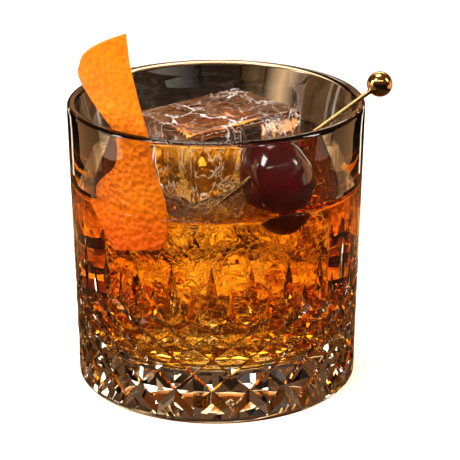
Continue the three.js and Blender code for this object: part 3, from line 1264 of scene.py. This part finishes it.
@dataclass(frozen=True)
class GlowCard:
    """A glowing card on the table round the glass, seen only in the glass and the metal.

    Its bearing is in degrees from straight behind the glass, growing to the left.
    A soft card fades towards its sides.
    """

    name: str
    bearing: float
    distance: float
    size: tuple[float, float]
    foot: float
    strength: float
    colour: Colour = (1.0, 0.84, 0.62)
    soft: bool = False

    def build(self) -> bpy.types.Object:
        """Stand the card on the table, facing the glass.

        Returns:
            The card.
        """
        bm = bmesh.new()
        bm.loops.layers.uv.new("UVMap")
        bmesh.ops.create_grid(bm, x_segments=1, y_segments=1, size=0.5, calc_uvs=True)
        width, height = self.size
        for vert in bm.verts:
            vert.co = Vector((vert.co.x * width, self.distance, self.foot + (vert.co.y + 0.5) * height))
        bmesh.ops.rotate(bm, matrix=Matrix.Rotation(math.radians(self.bearing), 3, "Z"), verts=bm.verts[:])
        graph = Graph(self.name)
        light = graph.node("ShaderNodeEmission", Color=(*self.colour, 1.0), Strength=self.strength)
        if self.soft:
            across = graph.node("ShaderNodeSeparateXYZ")
            graph.link(graph.node("ShaderNodeTexCoord").outputs["UV"], across.inputs["Vector"])
            fade = graph.ramp(across.outputs["X"], ((0.0, BLACK), (0.5, self.colour), (1.0, BLACK)))
            graph.link(fade, light.inputs["Color"])
        made = bare_object(self.name, bm, [graph.finish(light.outputs["Emission"])])
        made.visible_camera = False
        made.visible_diffuse = False
        made.visible_shadow = False
        return made


@dataclass
class Studio:
    """Pale floor, soft light and the camera."""

    eye: tuple[float, float, float] = (0.0, -0.5007, 0.2321)
    pitch: float = 0.3603
    yaw: float = 0.008
    lens: float = 141.35
    floor_size: float = 4.0
    floor_colour: Colour = (0.9, 0.9, 0.89)
    sky: Colour = (0.92, 0.92, 0.91)
    sky_light: float = 0.5
    sky_seen: float = 0.95
    bounces: int = 32
    dusk: Colour = (0.022, 0.012, 0.007)
    brown_middle: Colour = (0.13, 0.06, 0.027)
    warm_top: Colour = (0.16, 0.085, 0.045)
    pool: tuple[float, float, float] = (0.0, 0.108, 0.0)
    pool_reach: tuple[float, float, float] = (0.12, 0.05, 1.0)
    pool_strength: float = 2.4
    pool_stir: float = 2.2
    pool_grain_per_metre: float = 70.0
    boxes: tuple[SoftBox, ...] = (
        SoftBox("key_left", (-0.55, -0.45, 0.65), (0.0, 0.0, 0.06), (0.4, 0.4), 4.1, (1.0, 0.97, 0.93)),
        SoftBox("fill_right", (0.7, -0.35, 0.4), (0.0, 0.0, 0.05), (0.3, 0.5), 2.0, (1.0, 0.95, 0.88)),
        SoftBox("top", (0.0, 0.1, 0.9), (0.0, 0.0, 0.0), (0.6, 0.6), 3.4),
        SoftBox(
            "window_left", (-0.5, -0.35, 0.75), (0.0, 0.0, 0.06), (0.2, 0.26), 2.6,
            (1.0, 0.96, 0.9), Shows.IN_GLOSS_AND_GLASS,
        ),
        SoftBox(
            "window_right", (0.75, -0.1, 0.55), (0.0, 0.0, 0.06), (0.16, 0.3), 2.2,
            (1.0, 0.93, 0.85), Shows.IN_GLOSS_AND_GLASS,
        ),
        SoftBox(
            "back_top", (0.05, 0.6, 0.5), (0.0, 0.0, 0.05), (0.5, 0.12), 0.9,
            (1.0, 0.86, 0.7), Shows.IN_GLOSS_AND_GLASS,
        ),
        SoftBox(
            "back_sheet", (0.05, 0.95, 0.6), (0.0, 0.0, 0.07), (1.2, 0.6), 1.2,
            (1.0, 0.56, 0.3), Shows.IN_GLOSS,
        ),
        SoftBox(
            "front_strip", (0.0, -0.75, 0.85), (0.0, 0.0, 0.08), (1.0, 0.06), 1.6,
            (1.0, 0.86, 0.72), Shows.IN_GLOSS_AND_GLASS,
        ),
        SoftBox(
            "low_left", (-0.8, -0.15, 0.4), (0.0, 0.0, 0.1), (0.14, 0.3), 2.4,
            (1.0, 0.95, 0.88), Shows.IN_GLOSS_AND_GLASS,
        ),
        SoftBox(
            "overhead", (-0.1, 0.2, 0.9), (0.0, 0.0, 0.08), (0.4, 0.4), 3.0,
            (1.0, 0.9, 0.8), Shows.IN_GLOSS_AND_GLASS,
        ),
    )
    cards: tuple[GlowCard, ...] = (
        GlowCard("cream_behind", -11.5, 0.12, (0.013, 0.042), 0.027, 0.75, (1.0, 0.62, 0.32), True),
        GlowCard("tan_behind", -11.0, 0.123, (0.03, 0.042), 0.027, 0.16, (1.0, 0.55, 0.26), True),
        GlowCard("grey_behind", 9.5, 0.122, (0.03, 0.014), 0.046, 0.13, (1.0, 0.88, 0.78), True),
        GlowCard("glint_left_near", 42.0, 0.2, (0.016, 0.1), 0.0, 3.0),
        GlowCard("glint_right_near", -40.0, 0.2, (0.016, 0.1), 0.0, 3.0),
        GlowCard("glint_left_far", 58.0, 0.33, (0.025, 0.05), 0.0, 3.0, (1.0, 0.68, 0.36)),
        GlowCard("ember_left", 28.0, 0.36, (0.02, 0.04), 0.0, 2.0, (1.0, 0.55, 0.2)),
        GlowCard("ember_right", -27.0, 0.36, (0.02, 0.04), 0.0, 2.0, (1.0, 0.55, 0.2)),
        GlowCard("glint_right_far", -57.0, 0.33, (0.025, 0.05), 0.0, 3.0, (1.0, 0.68, 0.36)),
        GlowCard("amber_left", 74.0, 0.22, (0.12, 0.12), 0.0, 1.3, (1.0, 0.45, 0.16)),
        GlowCard("amber_right", -74.0, 0.22, (0.12, 0.12), 0.0, 1.3, (1.0, 0.5, 0.2)),
        GlowCard("pale_left", 98.0, 0.24, (0.1, 0.14), 0.0, 3.0, (1.0, 0.64, 0.42)),
        GlowCard("pale_right", -98.0, 0.24, (0.06, 0.08), 0.0, 1.2, (1.0, 0.68, 0.46)),
    )

    def _floor(self, name: str, height: float, finish: bpy.types.Material) -> bpy.types.Object:
        """Lay one flat floor.

        Args:
            name: the floor's name.
            height: its height in metres.
            finish: its material.

        Returns:
            The floor.
        """
        bm = bmesh.new()
        bmesh.ops.create_grid(bm, x_segments=8, y_segments=8, size=self.floor_size / 2)
        bmesh.ops.translate(bm, vec=(0.0, 0.0, height), verts=bm.verts[:])
        made = bare_object(name, bm, [finish])
        return made

    def _pale_finish(self) -> bpy.types.Material:
        """Make the pale floor's finish.

        Returns:
            The material.
        """
        graph = Graph("studio_floor")
        shader = graph.principled(self.floor_colour, Roughness=0.85)
        return graph.finish(shader.outputs["BSDF"])

    def _glow_finish(self) -> bpy.types.Material:
        """Make the table as the glass shows it, with a warm pool of light behind the glass.

        Returns:
            The material.
        """
        graph = Graph("table_glow")
        spot = graph.node("ShaderNodeMapping", vector_type="POINT")
        graph.link(graph.place(), spot.inputs["Vector"])
        for axis, (middle, reach) in enumerate(zip(self.pool, self.pool_reach)):
            spot.inputs["Location"].default_value[axis] = -middle / reach
            spot.inputs["Scale"].default_value[axis] = 1.0 / reach
        stirred = graph.node("ShaderNodeMath", operation="MULTIPLY_ADD")
        graph.link(graph.grain(self.pool_grain_per_metre, 5.0, 0.65, 1.4), stirred.inputs[0])
        stirred.inputs[1].default_value = self.pool_stir
        graph.link(graph.length(spot.outputs["Vector"]), stirred.inputs[2])
        scaled = graph.spread(stirred.outputs["Value"], 0.0, 1.0, 0.0, 4.0)
        glow = graph.ramp(
            scaled,
            (
                (0.31, (1.0, 0.88, 0.56)),
                (0.37, (0.62, 0.36, 0.14)),
                (0.5, (0.1, 0.042, 0.014)),
                (0.75, (0.012, 0.007, 0.004)),
                (0.98, (0.006, 0.004, 0.003)),
            ),
        )
        light = graph.node("ShaderNodeEmission", Strength=self.pool_strength)
        # Close to the glass the glow dims to amber: painted caustic light from the drink. The faint ring
        # further out is painted light too.
        reach = graph.length(graph.place())
        near = graph.ramp(
            reach,
            (
                (0.045, (0.3, 0.09, 0.016)),
                (0.072, (0.8, 0.36, 0.08)),
                (0.092, WHITE),
                (0.2, WHITE),
            ),
        )
        ring = graph.ramp(
            reach,
            (
                (0.05, (0.03, 0.01, 0.002)),
                (0.1, (0.024, 0.017, 0.009)),
                (0.14, (0.016, 0.011, 0.006)),
                (0.18, BLACK),
            ),
        )
        tinted = graph.node("ShaderNodeVectorMath", operation="MULTIPLY_ADD")
        graph.link(glow, tinted.inputs[0])
        graph.link(near, tinted.inputs[1])
        graph.link(ring, tinted.inputs[2])
        graph.link(tinted.outputs["Vector"], light.inputs["Color"])
        return graph.finish(light.outputs["Emission"])

    def _sky(self) -> None:
        """Make the surroundings: pale to the eye, soft for the light, dusky in the glass."""
        world = bpy.data.worlds.new("studio")
        world.use_nodes = True
        bpy.context.scene.world = world
        nodes, links = world.node_tree.nodes, world.node_tree.links
        nodes.clear()
        out = nodes.new("ShaderNodeOutputWorld")
        path = nodes.new("ShaderNodeLightPath")
        shades = []
        for colour, strength in ((self.dusk, 1.0), (self.sky, self.sky_light), (self.sky, self.sky_seen)):
            shade = nodes.new("ShaderNodeBackground")
            shade.inputs["Color"].default_value = (*colour, 1.0)
            shade.inputs["Strength"].default_value = strength
            shades.append(shade)
        up = nodes.new("ShaderNodeSeparateXYZ")
        links.new(nodes.new("ShaderNodeTexCoord").outputs["Generated"], up.inputs["Vector"])
        rise = nodes.new("ShaderNodeValToRGB")
        rise.color_ramp.elements[0].position = 0.15
        rise.color_ramp.elements[0].color = (*self.dusk, 1.0)
        rise.color_ramp.elements[1].position = 0.9
        rise.color_ramp.elements[1].color = (*self.warm_top, 1.0)
        middle = rise.color_ramp.elements.new(0.35)
        middle.color = (*self.brown_middle, 1.0)
        links.new(up.outputs["Z"], rise.inputs["Fac"])
        links.new(rise.outputs["Color"], shades[0].inputs["Color"])
        lit = nodes.new("ShaderNodeMixShader")
        seen = nodes.new("ShaderNodeMixShader")
        links.new(path.outputs["Is Diffuse Ray"], lit.inputs["Fac"])
        links.new(shades[0].outputs["Background"], lit.inputs[1])
        links.new(shades[1].outputs["Background"], lit.inputs[2])
        links.new(path.outputs["Is Camera Ray"], seen.inputs["Fac"])
        links.new(lit.outputs["Shader"], seen.inputs[1])
        links.new(shades[2].outputs["Background"], seen.inputs[2])
        links.new(seen.outputs["Shader"], out.inputs["Surface"])

    def _camera(self) -> None:
        """Set the camera at the photo's angle."""
        camera = bpy.data.cameras.new("photo_camera")
        camera.lens = self.lens
        camera.sensor_width = 36.0
        camera.clip_start = 0.01
        made = bpy.data.objects.new("photo_camera", camera)
        bpy.context.scene.collection.objects.link(made)
        made.location = self.eye
        level = math.cos(self.pitch)
        ahead = Vector((math.sin(self.yaw) * level, math.cos(self.yaw) * level, -math.sin(self.pitch)))
        made.rotation_euler = ahead.to_track_quat("-Z", "Y").to_euler()
        bpy.context.scene.camera = made

    def build(self) -> None:
        """Set up the whole studio."""
        floor = self._floor("studio_floor", 0.0, self._pale_finish())
        floor.visible_glossy = False
        floor.visible_transmission = False
        glow = self._floor("table_glow", -0.0005, self._glow_finish())
        glow.visible_camera = False
        glow.visible_diffuse = False
        glow.visible_shadow = False
        for light in (*self.boxes, *self.cards):
            light.build()
        self._sky()
        self._camera()
        scene = bpy.context.scene
        scene.view_settings.view_transform = "Standard"
        scene.cycles.max_bounces = self.bounces
        scene.cycles.transmission_bounces = self.bounces
        scene.cycles.transparent_max_bounces = self.bounces
        LOG.info("studio: %d lights, %d cards", len(self.boxes), len(self.cards))


def main() -> None:
    """Build every piece in order."""
    logging.basicConfig(level=logging.INFO, format="%(name)s %(message)s")
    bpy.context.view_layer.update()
    glass, ice, pick = Tumbler(), IceBlock(), CocktailPick()
    glass.build()
    ice.build()
    Drink().build(glass, ice)
    pick.build()
    Cherry().build(pick)
    OrangePeel().build(glass)
    Studio().build()


if __name__ == "__main__":
    main()
